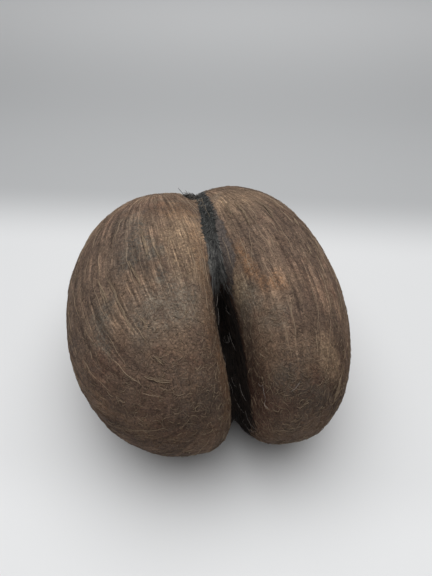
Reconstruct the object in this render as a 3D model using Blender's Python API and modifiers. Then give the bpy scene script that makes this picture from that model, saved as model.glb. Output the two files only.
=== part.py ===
"""Coco de mer: a double nut lying on its belly, with the cleft between its lobes facing up.

The nut grew as one piece, so it is one solid. Metres, +Z up. The lobes are joined at the far
end (+Y) and part towards their tips (-Y). The origin is on the ground, in the middle of the nut.
"""

from collections import namedtuple

import bmesh
import bpy
import numpy as np
from mathutils import Vector

OBJECT_NAME = "coco_de_mer"
NODE_NAME = "nut"

# Driving dimensions of a lobe, as radii from its core
CORE_OFFSET = 0.045
CORE_HEIGHT = 0.085
INNER_RADIUS = 0.105
UPPER_RADIUS = 0.097
LOWER_RADIUS = 0.0857
OUTLINE_POWER = 2.11
SECTION_POWER = 2.2
FAR_NARROWING = 0.035

# What differs between the two lobes: the left one is the fuller
Lobe = namedtuple(
    "Lobe", "side outer_radius far_length tip_length far_bend tip_bend far_lip tip_lip low_tip_lip"
)
LEFT = Lobe(-1, 0.1015, 0.1535, 0.151, 0.011, 0.005, 0.039, 0.032, 0.032)
RIGHT = Lobe(1, 0.0785, 0.154, 0.156, 0.0195, 0.002, 0.021, 0.022, 0.006)

# Between these heights a lip at the tips goes over from its low radius to its full one
LOW_LIP_FOOT = 0.035
LOW_LIP_TOP = 0.075

# The cleft: half its width at each end, below zero where the lobes have grown together
CLEFT_FAR_HALF_WIDTH = -0.010
CLEFT_TIP_HALF_WIDTH = 0.0068
CLEFT_FAR_Y = 0.04
CLEFT_TIP_Y = -0.09
CLEFT_FLARE = 0.09
CLEFT_BEND = 0.005
CLEFT_BEND_REACH = 0.15

# The web low in the cleft, which joins the lobes
WEB_CENTRE = (0.0, 0.02, 0.052)
WEB_HALF_WIDTH = 0.06
WEB_FAR_LENGTH = 0.11
WEB_TIP_LENGTH = 0.115
WEB_RISE = 0.045
WEB_DROP = 0.046

# How softly the lobes and the web run into each other, at the joined end and at the tips
FAR_BLEND = 0.009
TIP_BLEND = 0.017

# How finely the solid is faceted
SPHERE_SEGMENTS = 96
SPHERE_RINGS = 64
SKIN_CELL = 0.003
SKIN_ROUNDS = 2
SKIN_TRIANGLES = 9000

# How points are brought onto the nut's surface
RAY_CORE_SHARE = 0.75
RAY_LENGTH = 0.30
RAY_HALVINGS = 30
RELAX_PASSES = 8
RELAX_FACTOR = 0.5
SURFACE_STEPS = 8
GRADIENT_STEP = 0.0001

HUSK_COLOUR = (0.115, 0.075, 0.050, 1.0)
HUSK_ROUGHNESS = 0.85


def smooth_min(a, b, radius):
    """The lesser of two distances, with the edge between them rounded."""
    nearness = np.maximum(radius - np.abs(a - b), 0.0) / radius
    return np.minimum(a, b) - nearness ** 2 * radius / 4


def smooth_max(a, b, radius):
    """The greater of two distances, with the edge between them rounded."""
    return -smooth_min(-a, -b, radius)


def by_sign(values, positive, negative):
    """One radius on the positive side of a core and another on the negative side."""
    return np.where(values > 0, positive, negative)


def joined_share(y):
    """1 where the lobes are joined, 0 where they are parted."""
    return np.clip((y - CLEFT_TIP_Y) / (CLEFT_FAR_Y - CLEFT_TIP_Y), 0.0, 1.0)


def lobe_distance(points, lobe):
    """Below zero inside a whole lobe, a rounded body about its own core."""
    x = points[:, 0] * lobe.side - CORE_OFFSET
    y = points[:, 1]
    z = points[:, 2] - CORE_HEIGHT
    y_share = y / lobe.far_length
    x = x + by_sign(y, lobe.far_bend, lobe.tip_bend) * y_share ** 2
    outer = lobe.outer_radius * (1 - FAR_NARROWING * y_share)
    outline = (
        np.abs(x / by_sign(x, outer, INNER_RADIUS)) ** OUTLINE_POWER
        + np.abs(y / by_sign(y, lobe.far_length, lobe.tip_length)) ** OUTLINE_POWER
    )
    section = np.abs(z / by_sign(z, UPPER_RADIUS, LOWER_RADIUS)) ** SECTION_POWER
    reach = (outline ** (SECTION_POWER / OUTLINE_POWER) + section) ** (1 / SECTION_POWER)
    return (reach - 1) * INNER_RADIUS


def cleft_half_width(y, z):
    """Half the width of the cleft, which opens towards the tips and a little upwards."""
    parted = 1 - joined_share(y)
    parted = parted ** 2 * (3 - 2 * parted)
    width = CLEFT_FAR_HALF_WIDTH + (CLEFT_TIP_HALF_WIDTH - CLEFT_FAR_HALF_WIDTH) * parted
    return width + CLEFT_FLARE * parted * (z - CORE_HEIGHT)


def half_distance(points, lobe):
    """Below zero inside a lobe as the cleft leaves it, with a rounded lip along the cleft."""
    x, y, z = points.T
    cleft_x = CLEFT_BEND * (y / CLEFT_BEND_REACH) ** 2
    wall = cleft_half_width(y, z) - (x - cleft_x) * lobe.side
    height_share = np.clip((z - LOW_LIP_FOOT) / (LOW_LIP_TOP - LOW_LIP_FOOT), 0.0, 1.0)
    tip_lip = lobe.low_tip_lip + (lobe.tip_lip - lobe.low_tip_lip) * height_share
    lip = tip_lip + (lobe.far_lip - tip_lip) * joined_share(y)
    return smooth_max(lobe_distance(points, lobe), wall, lip)


def web_distance(points):
    """Below zero inside the web."""
    x, y, z = (points - np.array(WEB_CENTRE)).T
    reach = np.sqrt(
        (x / WEB_HALF_WIDTH) ** 2
        + (y / by_sign(y, WEB_FAR_LENGTH, WEB_TIP_LENGTH)) ** 2
        + (z / by_sign(z, WEB_RISE, WEB_DROP)) ** 2
    )
    return (reach - 1) * WEB_HALF_WIDTH


def nut_distance(points):
    """Below zero inside the nut: both halves and the web, grown into one."""
    blend = TIP_BLEND + (FAR_BLEND - TIP_BLEND) * joined_share(points[:, 1]) ** 3
    halves = smooth_min(half_distance(points, LEFT), half_distance(points, RIGHT), blend)
    return smooth_min(halves, web_distance(points), blend)


def clear_scene():
    """Removes what a new file comes with."""
    for thing in list(bpy.data.objects):
        bpy.data.objects.remove(thing, do_unlink=True)


def new_collection(name):
    """A collection of its own for the object."""
    collection = bpy.data.collections.new(name)
    bpy.context.scene.collection.children.link(collection)
    return collection


def husk_material():
    """Dry brown fibrous husk."""
    material = bpy.data.materials.new("dry_husk")
    material.use_nodes = True
    shader = material.node_tree.nodes["Principled BSDF"]
    shader.inputs["Base Color"].default_value = HUSK_COLOUR
    shader.inputs["Roughness"].default_value = HUSK_ROUGHNESS
    shader.inputs["Metallic"].default_value = 0.0
    material.diffuse_color = HUSK_COLOUR
    return material


def add_rounded_body(bm, core, distance):
    """Adds a sphere whose points are moved along their rays from a core onto a surface."""
    sphere = bmesh.ops.create_uvsphere(
        bm, u_segments=SPHERE_SEGMENTS, v_segments=SPHERE_RINGS, radius=1.0
    )
    rays = np.array([vert.co.normalized() for vert in sphere["verts"]])
    near = np.zeros(len(rays))
    far = np.full(len(rays), RAY_LENGTH)
    for _ in range(RAY_HALVINGS):
        middle = (near + far) / 2
        inside = distance(core + rays * middle[:, None]) < 0
        near = np.where(inside, middle, near)
        far = np.where(inside, far, middle)
    for vert, place in zip(sphere["verts"], core + rays * near[:, None]):
        vert.co = place


def rough_bodies(collection):
    """The two halves and the web as three closed bodies that overlap, in one object."""
    bm = bmesh.new()
    for lobe in (LEFT, RIGHT):
        core = np.array((lobe.side * lobe.outer_radius * RAY_CORE_SHARE, 0.0, CORE_HEIGHT))
        add_rounded_body(bm, core, lambda points, lobe=lobe: half_distance(points, lobe))
    add_rounded_body(bm, np.array(WEB_CENTRE), web_distance)
    mesh = bpy.data.meshes.new(NODE_NAME)
    bm.to_mesh(mesh)
    bm.free()
    nut = bpy.data.objects.new(NODE_NAME, mesh)
    collection.objects.link(nut)
    return nut


def apply_modifier(nut, kind, **settings):
    """Puts one modifier on the nut and keeps its result as the nut's mesh."""
    modifier = nut.modifiers.new(kind.lower(), kind)
    for name, value in settings.items():
        setattr(modifier, name, value)
    evaluated = nut.evaluated_get(bpy.context.evaluated_depsgraph_get())
    result = bpy.data.meshes.new_from_object(evaluated)
    nut.modifiers.clear()
    nut.data = result


def relax(nut):
    """Evens out the points of the skin."""
    bm = bmesh.new()
    bm.from_mesh(nut.data)
    for _ in range(RELAX_PASSES):
        bmesh.ops.smooth_vert(
            bm, verts=bm.verts, factor=RELAX_FACTOR, use_axis_x=True, use_axis_y=True, use_axis_z=True
        )
    bm.to_mesh(nut.data)
    bm.free()


def surface_gradient(points):
    """The direction in which the distance from the nut grows, by central differences."""
    steps = np.eye(3) * GRADIENT_STEP
    slopes = [nut_distance(points + step) - nut_distance(points - step) for step in steps]
    return np.stack(slopes, axis=1) / (2 * GRADIENT_STEP)


def settle_on_surface(points):
    """Moves points onto the nut's surface by steps along the gradient."""
    for _ in range(SURFACE_STEPS):
        gradient = surface_gradient(points)
        steepness = np.sum(gradient ** 2, axis=1)
        points = points - gradient * (nut_distance(points) / steepness)[:, None]
    return points


def move_points(nut, new_places):
    """Moves every point of the nut to where a function puts it."""
    bm = bmesh.new()
    bm.from_mesh(nut.data)
    places = new_places(np.array([vert.co for vert in bm.verts], dtype=float))
    for vert, place in zip(bm.verts, places):
        vert.co = Vector(place)
    bmesh.ops.recalc_face_normals(bm, faces=bm.faces)
    bm.to_mesh(nut.data)
    bm.free()


def set_down(points):
    """Presses the belly flat on the ground and brings the middle of the nut over the origin."""
    points[:, 2] = np.maximum(points[:, 2], 0.0)
    middle = (points.min(axis=0) + points.max(axis=0)) / 2
    points[:, :2] -= middle[:2]
    return points


def build():
    """Builds the nut."""
    clear_scene()
    collection = new_collection(OBJECT_NAME)
    nut = rough_bodies(collection)
    for _ in range(SKIN_ROUNDS):
        apply_modifier(nut, "REMESH", mode="VOXEL", voxel_size=SKIN_CELL)
        relax(nut)
        move_points(nut, settle_on_surface)
    apply_modifier(nut, "DECIMATE", ratio=SKIN_TRIANGLES / (2 * len(nut.data.polygons)))
    move_points(nut, set_down)
    nut.data.shade_smooth()
    nut.data.materials.clear()
    nut.data.materials.append(husk_material())


if __name__ == "__main__":
    build()
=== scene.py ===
import math
from collections import namedtuple

import bmesh
import bpy
import numpy as np
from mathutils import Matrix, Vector, noise
from mathutils.bvhtree import BVHTree


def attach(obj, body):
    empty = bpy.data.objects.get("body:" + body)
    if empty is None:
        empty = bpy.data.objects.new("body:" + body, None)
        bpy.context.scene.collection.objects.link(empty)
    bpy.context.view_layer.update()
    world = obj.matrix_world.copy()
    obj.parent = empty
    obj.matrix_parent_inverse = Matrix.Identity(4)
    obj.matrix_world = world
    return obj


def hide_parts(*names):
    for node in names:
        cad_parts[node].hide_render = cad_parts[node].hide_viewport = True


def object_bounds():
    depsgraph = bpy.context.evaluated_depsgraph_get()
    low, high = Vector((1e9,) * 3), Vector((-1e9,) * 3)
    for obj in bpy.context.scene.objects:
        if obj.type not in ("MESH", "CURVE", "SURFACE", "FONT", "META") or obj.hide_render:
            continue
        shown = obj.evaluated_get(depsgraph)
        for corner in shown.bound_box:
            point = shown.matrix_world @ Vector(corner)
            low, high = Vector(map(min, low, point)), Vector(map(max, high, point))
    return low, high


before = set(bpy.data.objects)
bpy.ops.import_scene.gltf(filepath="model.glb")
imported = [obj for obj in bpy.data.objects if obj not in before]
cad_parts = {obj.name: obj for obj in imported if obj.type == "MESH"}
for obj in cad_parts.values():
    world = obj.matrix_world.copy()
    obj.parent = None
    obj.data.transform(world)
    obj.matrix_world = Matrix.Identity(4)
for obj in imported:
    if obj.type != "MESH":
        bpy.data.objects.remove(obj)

bl_info = {
    "name": "Coco de Mer Husk",
    "version": (1, 0, 0),
    "blender": (4, 5, 0),
    "location": "View3D > Sidebar > Coco de Mer",
    "description": "Dresses a double nut in its fibrous husk and lights it",
    "category": "Object",
}

NODE = "nut"
BODY = "root"
SKIN = "husk_skin"

# Where the fibres of each lobe run together, at its tip and at the joined end
Lobe = namedtuple("Lobe", "tip far")
LEFT_LOBE = Lobe((-0.010, -0.115, 0.135), (-0.030, 0.120, 0.150))
RIGHT_LOBE = Lobe((0.042, -0.145, 0.095), (0.022, 0.115, 0.150))
GRAIN_RADIUS = 0.07
GRAIN_SHORTENING = 0.06
GRAIN_LOBE_STEP = 0.5

# How near a lobe's tip the fibres lie every way, and how far they do at its far end
SWIRL_NEAR = 0.035
SWIRL_FAR = 0.100
FAR_SWIRL = 0.45
FAR_SWIRL_NEAR = 0.006
FAR_SWIRL_FAR = 0.032

# The line that the cleft follows, seen from above
VALLEY_X = 0.0115
VALLEY_BEND = 0.005
VALLEY_REACH = 0.15

# How far the dark band reaches to the left and right of that line, and its plum border on the right
BandEdge = namedtuple("BandEdge", "y left right plum")
BAND_EDGES = [
    BandEdge(-0.110, 0.0030, 0.0030, 0.0030),
    BandEdge(-0.060, 0.0060, 0.0060, 0.0062),
    BandEdge(-0.044, 0.0085, 0.0066, 0.0085),
    BandEdge(-0.036, 0.0090, 0.0053, 0.0108),
    BandEdge(-0.026, 0.0086, 0.0042, 0.0128),
    BandEdge(-0.014, 0.0068, 0.0045, 0.0142),
    BandEdge(-0.002, 0.0069, 0.0046, 0.0124),
    BandEdge(0.012, 0.0080, 0.0052, 0.0116),
    BandEdge(0.022, 0.0072, 0.0062, 0.0112),
    BandEdge(0.034, 0.0056, 0.0078, 0.0100),
    BandEdge(0.060, 0.0045, 0.0082, 0.0090),
    BandEdge(0.100, 0.0036, 0.0060, 0.0066),
]
BAND_FADE_TOP = 0.11
BAND_FADE_FOOT = 0.03
BAND_FOOT_SHARE = 0.35

# The hollow's dark is painted shade of the deep cleft, partly its black fibres
# The dark hollow between the tips: where it begins and ends, and on each of its walls how high
# its full dark reaches, how steeply that falls towards the tips, how softly it fades above and
# how far it reaches aside as a share of its half width. It fades out again towards the ground.
HOLLOW_FULL_Y = -0.042
HOLLOW_START_Y = -0.028
HOLLOW_FRONT_Y = -0.120
HOLLOW_FRONT_SOFTNESS = 0.012
HOLLOW_RIM_Y = -0.047
HOLLOW_FOOT = 0.010
HOLLOW_FULL_Z = 0.045
HOLLOW_SIDE_EDGE = (0.75, 1.25)
HollowWall = namedtuple("HollowWall", "rim_z slope softness softening reach")
HOLLOW_LEFT = HollowWall(0.146, 1.33, 0.014, 0.0, 1.05)
HOLLOW_RIGHT = HollowWall(0.126, 1.24, 0.026, 0.90, 1.75)

# Long pale ridges that stand out on top of the lobes, seen from above
LONG_RIDGES = [
    [(-0.052, 0.019), (-0.050, -0.002), (-0.048, -0.023)],
    [(-0.045, 0.009), (-0.040, -0.021), (-0.036, -0.037)],
    [(-0.066, -0.020), (-0.0625, -0.031), (-0.058, -0.045), (-0.055, -0.0565)],
    [(-0.086, -0.022), (-0.083, -0.033), (-0.078, -0.050), (-0.0735, -0.067), (-0.065, -0.091)],
    [(-0.093, -0.025), (-0.088, -0.043), (-0.0845, -0.0565)],
    [(-0.061, -0.076), (-0.058, -0.082), (-0.055, -0.087)],
    [(-0.055, -0.105), (-0.050, -0.110), (-0.0445, -0.115)],
    [(-0.064, -0.116), (-0.053, -0.121), (-0.041, -0.125)],
    [(0.030, 0.064), (0.034, 0.033), (0.034, 0.017)],
    [(0.041, 0.044), (0.046, 0.026), (0.046, -0.001)],
    [(0.062, 0.045), (0.070, 0.028), (0.070, 0.008)],
    [(0.0936, 0.020), (0.0942, 0.009), (0.0938, 0.000)],
    [(0.092, -0.021), (0.0925, -0.029), (0.092, -0.0375)],
    [(0.0926, -0.1276), (0.0895, -0.1355), (0.0816, -0.1437)],
]
STRANDS_PER_RIDGE = 12
# The dark strands beside each ridge are painted shadow of the raised ridge
SHADOW_STRANDS_PER_RIDGE = 3

# The loose hairs that stand out: where each is rooted, how long it is and how it lies
Hair = namedtuple("Hair", "root length slant curl")
HAIRS = [
    Hair((0.0139, -0.0509, 0.0975), 0.022, -0.8, 0.30),
    Hair((0.0150, -0.0530, 0.0990), 0.016, 0.9, -0.25),
    Hair((0.0175, -0.0930, 0.0800), 0.022, 0.15, 0.02),
    Hair((0.0103, -0.1015, 0.0705), 0.020, 0.35, 0.02),
    Hair((0.0130, -0.0860, 0.0800), 0.014, -0.6, 0.12),
    Hair((0.0284, -0.1252, 0.1190), 0.012, 0.5, -0.09),
    Hair((0.0262, -0.1200, 0.1160), 0.009, 0.2, 0.14),
    Hair((0.0456, -0.1402, 0.1282), 0.011, 2.2, 0.02),
    Hair((0.0320, -0.1330, 0.1110), 0.008, -0.9, 0.10),
]

# Patches of another colour: which colour, where, how far they spread and how strong they are
Stain = namedtuple("Stain", "colour centre spread strength")
STAINS = [
    Stain("redwood", (-0.088, 0.012, 0.168), (0.020, 0.045, 0.05), 0.85),
    Stain("redwood", (-0.060, 0.060, 0.168), (0.030, 0.030, 0.04), 0.5),
    Stain("smoke", (-0.068, 0.008, 0.176), (0.028, 0.050, 0.03), 1.3),
    Stain("redwood", (-0.072, 0.016, 0.175), (0.018, 0.030, 0.03), 0.45),
    Stain("smoke", (-0.0430, -0.0190, 0.181), (0.0060, 0.0150, 0.02), 1.0),
    Stain("smoke", (-0.0355, -0.0170, 0.181), (0.0030, 0.0090, 0.02), 1.3),
    Stain("smoke", (-0.0390, -0.0430, 0.179), (0.0060, 0.0110, 0.02), 1.1),
    Stain("redwood", (-0.090, -0.094, 0.142), (0.022, 0.026, 0.04), 1.2),
    Stain("bark_and_shade", (-0.092, -0.092, 0.142), (0.020, 0.026, 0.04), 0.25),
    Stain("umber", (-0.100, -0.062, 0.146), (0.030, 0.050, 0.05), 0.9),
    Stain("umber", (-0.122, -0.020, 0.125), (0.030, 0.080, 0.06), 1.3),
    Stain("smoke", (-0.084, -0.074, 0.158), (0.014, 0.030, 0.03), 0.9),
    Stain("ash", (-0.054, -0.084, 0.166), (0.020, 0.022, 0.03), 0.45),
    Stain("umber", (-0.090, 0.004, 0.168), (0.022, 0.050, 0.03), 1.3),
    Stain("smoke", (-0.062, -0.076, 0.165), (0.024, 0.030, 0.03), 0.40),
    Stain("umber", (-0.060, -0.124, 0.136), (0.040, 0.030, 0.036), 1.3),
    Stain("redwood", (-0.060, -0.130, 0.130), (0.026, 0.018, 0.024), 0.45),
    Stain("smoke", (-0.020, -0.128, 0.118), (0.026, 0.024, 0.04), 0.35),
    Stain("ash", (-0.026, -0.070, 0.172), (0.028, 0.026, 0.03), 0.8),
    Stain("smoke", (-0.024, -0.068, 0.172), (0.022, 0.018, 0.03), 0.15),
    Stain("tan", (-0.013, -0.004, 0.178), (0.024, 0.050, 0.03), 0.85),
    Stain("rust", (-0.017, 0.050, 0.176), (0.020, 0.026, 0.03), 0.40),
    Stain("rust", (-0.004, -0.010, 0.176), (0.008, 0.050, 0.03), 0.35),
    Stain("rust", (-0.006, -0.080, 0.157), (0.010, 0.036, 0.03), 0.40),
    Stain("rust", (0.001, -0.115, 0.115), (0.009, 0.040, 0.04), 0.55),
    Stain("rust", (0.0310, -0.0300, 0.177), (0.0050, 0.0180, 0.02), 0.65),
    Stain("rust", (0.0345, -0.0480, 0.174), (0.0060, 0.0150, 0.02), 0.65),
    Stain("rust", (0.0405, -0.0640, 0.172), (0.0070, 0.0100, 0.02), 0.65),
    Stain("rust", (0.0530, -0.0650, 0.175), (0.0090, 0.0120, 0.02), 0.6),
    Stain("tan", (0.045, 0.050, 0.176), (0.030, 0.036, 0.03), 0.5),
    Stain("straw", (0.0235, -0.0570, 0.158), (0.0090, 0.0170, 0.016), 1.0),
    Stain("ash", (0.0280, -0.0700, 0.158), (0.0110, 0.0160, 0.03), 0.9),
    Stain("smoke", (0.060, -0.120, 0.150), (0.026, 0.014, 0.02), 0.35),
    Stain("ash", (0.044, -0.094, 0.165), (0.014, 0.012, 0.02), 0.5),
    Stain("tan", (0.080, -0.124, 0.138), (0.012, 0.026, 0.026), 0.60),
    Stain("bark_and_shade", (0.0345, -0.138, 0.118), (0.0090, 0.012, 0.020), 0.8),
    Stain("plum", (0.074, -0.038, 0.178), (0.018, 0.016, 0.03), 0.35),
    Stain("redwood", (0.088, -0.045, 0.170), (0.030, 0.040, 0.04), 0.45),
    Stain("umber", (0.054, 0.000, 0.180), (0.022, 0.060, 0.03), 0.75),
    Stain("redwood", (0.095, -0.020, 0.165), (0.030, 0.070, 0.06), 0.5),
    Stain("umber", (0.090, -0.024, 0.173), (0.022, 0.044, 0.03), 1.7),
    Stain("smoke", (0.048, -0.143, 0.120), (0.034, 0.022, 0.040), 0.7),
    Stain("redwood", (0.038, -0.143, 0.112), (0.014, 0.014, 0.016), 0.7),
    Stain("bark_and_shade", (0.046, -0.144, 0.120), (0.022, 0.014, 0.028), 0.35),
    # Next three: the right wall deep in the cleft, partly darker fibres, partly painted shade
    Stain("redwood", (0.0225, -0.108, 0.078), (0.009, 0.026, 0.034), 1.5),
    Stain("redwood", (0.0280, -0.130, 0.095), (0.012, 0.018, 0.030), 1.3),
    Stain("bark_and_shade", (0.0240, -0.122, 0.100), (0.010, 0.024, 0.040), 0.9),
    Stain("ash", (-0.094, -0.072, 0.155), (0.010, 0.026, 0.03), 0.4),
    Stain("rust", (-0.078, -0.079, 0.161), (0.010, 0.020, 0.02), 0.3),
]

# Clouds all over the husk: their colour, size and shift, their noise's detail, the noise at which
# they begin and at which they are full, and how strong they are
Cloud = namedtuple("Cloud", "colour size shift detail begins fills share")
CLOUDS = [
    Cloud("umber", 0.034, (0.0, 0.0, 0.0), 4.0, 0.38, 0.66, 1.0),
    Cloud("redwood", 0.020, (3.0, 1.0, 2.0), 3.0, 0.55, 0.75, 0.5),
    Cloud("ash", 0.026, (7.0, 4.0, 5.0), 3.0, 0.56, 0.76, 0.45),
]

# The other patterns' sizes
STREAK = 0.0042
FINE_STREAK = 0.0017
PALE_LINE = 0.0060
LINE_BREAK = 0.018
FELT = 0.0026
FLECK = 0.0013
CURL = 0.0060
RAGGED_EDGE = 0.005
STAIN_EDGE = 0.011
STAIN_MOTTLE = 0.0022
DARK_MOTTLE = 0.006

# What the husk's colour is multiplied by in streaks, in felt, in dark fibres and low in front
LIT_STREAK = (1.90, 1.90, 1.85)
SHADED_STREAK = (0.52, 0.50, 0.49)
LIT_FELT = (1.85, 1.85, 1.78)
SHADED_FELT = (0.36, 0.35, 0.36)
SHADED_FIBRE = (0.45, 0.42, 0.42)
# Painted shade: the husk's colour is darkened low in front, partly the lower husk's darker brown
PAINTED_LOW_SHADE = (0.68, 0.61, 0.57)
LOW_FRONT = (0.0, -0.75, -0.65)
SWIRL_CALM = 0.85

# The dark fibres' darkest and palest colours
BAND_COLOURS = ((0.008, 0.009, 0.010), (0.130, 0.128, 0.122))
# The hollow's fibres are darker than the band's: partly black fibres, partly painted shade of the deep
# cleft
HOLLOW_COLOURS = ((0.002, 0.001, 0.001), (0.026, 0.018, 0.014))
HAIR_COLOURS = ((0.08, 0.068, 0.060), (0.45, 0.41, 0.38))
TUFT_COLOURS = ((0.036, 0.034, 0.033), (0.20, 0.185, 0.170))

# The floor's colour changes between these distances along the camera's view, turned a little
FLOOR_TURN = math.radians(4.0)
# Lighter floor near the camera and far off: painted light against the shadow in front and the fall-off
FLOOR_NEAR = (-0.12, -0.19)
FLOOR_BEHIND = (0.19, 0.36)
FLOOR_FAR = (0.65, 2.0)

# The light overhead and the room's light, which is strongest from above and behind
KEY_PLACE = (0.02, 0.05, 1.50)
KEY_AIM = (0.0, 0.0, 0.08)
ROOM_COLOUR = (0.97, 0.985, 1.0, 1.0)
ROOM_BRIGHT_WAY = (0.0, 0.5, 0.87)
ROOM_DUSK_EDGE = (-0.5, 0.8)
SENSOR_WIDTH = 36.0
NEAREST_SEEN = 0.01

# The nut's box, which all that is laid on it keeps to
CAD_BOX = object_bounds()

# How far the lumps of one seed are shifted from those of the next
CLOUD_SHIFT = (3.7, -5.1, 7.3)

# The least length that a vector is divided by
TINY = 1e-9


def colour_setting(name, description, default):
    """A colour that a user may change."""
    return bpy.props.FloatVectorProperty(
        name=name, description=description, subtype="COLOR", size=3, min=0.0, max=1.0, default=default
    )


def length_setting(name, description, default, **limits):
    """A length that a user may change."""
    return bpy.props.FloatProperty(
        name=name, description=description, default=default, unit="LENGTH", precision=5, **limits
    )


def count_setting(name, description, default, most):
    """A number of fibres that a user may change."""
    return bpy.props.IntProperty(name=name, description=description, default=default, min=0, max=most)


class HuskSettings(bpy.types.PropertyGroup):
    """Sizes and colours of the skin."""

    skin_cell: length_setting(
        "Skin cell", "Size of the skin's facets", 0.00195, min=0.001, max=0.01
    )
    inset: length_setting(
        "Inset", "How far the skin lies under the tops of its fibres", 0.0008, min=0.0, max=0.005
    )
    lump_size: length_setting(
        "Lump size", "Width of the shallow lumps", 0.026, min=0.005, max=0.1
    )
    lump_height: length_setting(
        "Lump height", "Height of the shallow lumps", 0.0014, min=0.0, max=0.005
    )
    brown: colour_setting("Brown", "Most of the husk", (0.150, 0.100, 0.069))
    umber: colour_setting("Umber", "Darker clouds in the husk", (0.094, 0.063, 0.046))
    tan: colour_setting("Tan", "Worn places beside the cleft", (0.238, 0.165, 0.105))
    rust: colour_setting("Rust", "Rusty spots", (0.210, 0.110, 0.055))
    redwood: colour_setting("Redwood", "Reddish brown clouds", (0.118, 0.064, 0.045))
    ash: colour_setting("Ash", "Greyed places", (0.152, 0.127, 0.099))
    smoke: colour_setting("Smoke", "Dark grey places", (0.078, 0.067, 0.055))
    plum: colour_setting("Plum", "The purplish border of the band", (0.078, 0.063, 0.056))
    charcoal: colour_setting("Charcoal", "The cleft's band at the joined end", (0.020, 0.021, 0.020))
    # Slate is partly the band's own grey fibres, partly painted light that lifts the valley's shade
    slate_and_painted_light: colour_setting("Slate", "The cleft's band near the hollow", (0.125, 0.121, 0.114))
    # Bark is also painted shade where the cleft's walls darken into the hollow
    bark_and_shade: colour_setting("Bark", "Darkest brown places", (0.038, 0.016, 0.009))
    # Near black for the hollow: painted shade of the deep cleft, partly its black fibres
    black_fibres_and_shade: colour_setting("Shaded_black_fibres", "The hollow between the lobe tips", (0.003, 0.0025, 0.002))
    straw: colour_setting("Straw", "The palest fibres", (0.360, 0.270, 0.180))


class FibreSettings(bpy.types.PropertyGroup):
    """Sizes and numbers of the fibres."""

    felt_count: count_setting("Felt fibres", "Short curly fibres on each lobe", 7000, 20000)
    felt_length: length_setting(
        "Felt fibre length", "Usual length of a felt fibre", 0.0065, min=0.001, max=0.05
    )
    felt_radius: length_setting(
        "Felt fibre radius", "Radius of a felt fibre", 0.00017, min=0.00005, max=0.002
    )
    curl_count: count_setting("Pale curls", "Thicker pale fibres, most of them round the tips", 3800, 10000)
    curl_length: length_setting(
        "Pale curl length", "Usual length of a pale curl", 0.0062, min=0.001, max=0.05
    )
    curl_radius: length_setting(
        "Pale curl radius", "Radius of a pale curl", 0.00022, min=0.00005, max=0.002
    )
    ridge_spacing: length_setting(
        "Ridge spacing", "Gap between ridges at a lobe's widest", 0.0035, min=0.001, max=0.02
    )
    ridge_length: length_setting(
        "Ridge length", "Usual length of a lengthwise ridge", 0.045, min=0.01, max=0.2
    )
    ridge_radius: length_setting(
        "Ridge radius", "Radius of a lengthwise ridge", 0.00036, min=0.00005, max=0.002
    )
    long_ridge_radius: length_setting(
        "Long ridge radius", "Radius of a long ridge's strands", 0.00032, min=0.00005, max=0.002
    )
    band_count: count_setting("Band fibres", "Dark fibres in the cleft", 2600, 20000)
    hollow_half_width: length_setting(
        "Hollow half width", "Half the width of the dark hollow at the tips", 0.0095, min=0.001, max=0.05
    )
    hair_count: count_setting("Loose hairs", "Scattered pale hairs in the cleft", 12, 500)
    tuft_count: count_setting("Tuft fibres", "Fibres of the tuft where the stalk was", 220, 1000)


class StageSettings(bpy.types.PropertyGroup):
    """Floor, light and camera."""

    floor: colour_setting("Floor", "Colour of the floor round the nut", (0.72, 0.725, 0.73))
    # Floor near and floor far off are lighter: painted light against the shadow in front and the fall-off
    floor_near_painted_light: colour_setting("Floor near", "Colour of the floor in front", (0.765, 0.770, 0.775))
    floor_behind: colour_setting("Floor behind", "Colour of the floor behind", (0.450, 0.456, 0.462))
    floor_far_painted_light: colour_setting("Floor far off", "Colour of the floor far behind", (0.97, 0.975, 0.98))
    floor_width: length_setting(
        "Floor width", "Width of the floor", 8.0, min=1.0
    )
    key_power: bpy.props.FloatProperty(
        name="Key light", description="Power of the soft light overhead", default=25.0, min=0.0,
        unit="POWER",
    )
    key_width: length_setting(
        "Key width", "Width of the soft light overhead", 2.0, min=0.1
    )
    room_light: bpy.props.FloatProperty(
        name="Room light", description="Strength of the light from all round", default=0.37, min=0.0,
    )
    room_dusk: bpy.props.FloatProperty(
        name="Room dusk", description="Share of the room light that comes from low in front",
        default=0.10, min=0.0, max=1.0,
    )
    target: bpy.props.FloatVectorProperty(
        name="Target", description="The point that the camera looks at", subtype="XYZ", size=3,
        unit="LENGTH", default=(0.0218, 0.0395, 0.0700),
    )
    camera_distance: length_setting(
        "Camera distance", "From the camera to its target", 0.4929, min=0.05
    )
    camera_turn: bpy.props.FloatProperty(
        name="Camera turn", description="How far the camera stands round to the left",
        default=math.radians(10.80), subtype="ANGLE",
    )
    camera_rise: bpy.props.FloatProperty(
        name="Camera rise", description="How far the camera looks down",
        default=math.radians(44.33), subtype="ANGLE",
    )
    lens: bpy.props.FloatProperty(
        name="Lens", description="Focal length in millimetres on a 36 mm sensor", default=27.06, min=5.0,
    )


def settings(group):
    """One of the three groups of settings."""
    return getattr(bpy.context.scene, "coco_" + group)




# Arithmetic on arrays of points

def unit(vectors):
    """The same vectors with a length of one."""
    return vectors / np.maximum(np.linalg.norm(vectors, axis=-1, keepdims=True), TINY)


def ease(values, low, high):
    """Runs from 0 at low to 1 at high, with soft ends."""
    share = np.clip((values - low) / (high - low), 0.0, 1.0)
    return share * share * (3 - 2 * share)


def cloud(places, size, seed):
    """Soft noise between about -1 and 1 at each point, with clouds of one size."""
    shift = np.array(CLOUD_SHIFT) * seed
    return np.array([noise.noise(place) for place in (places / size + shift).tolist()])


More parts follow.
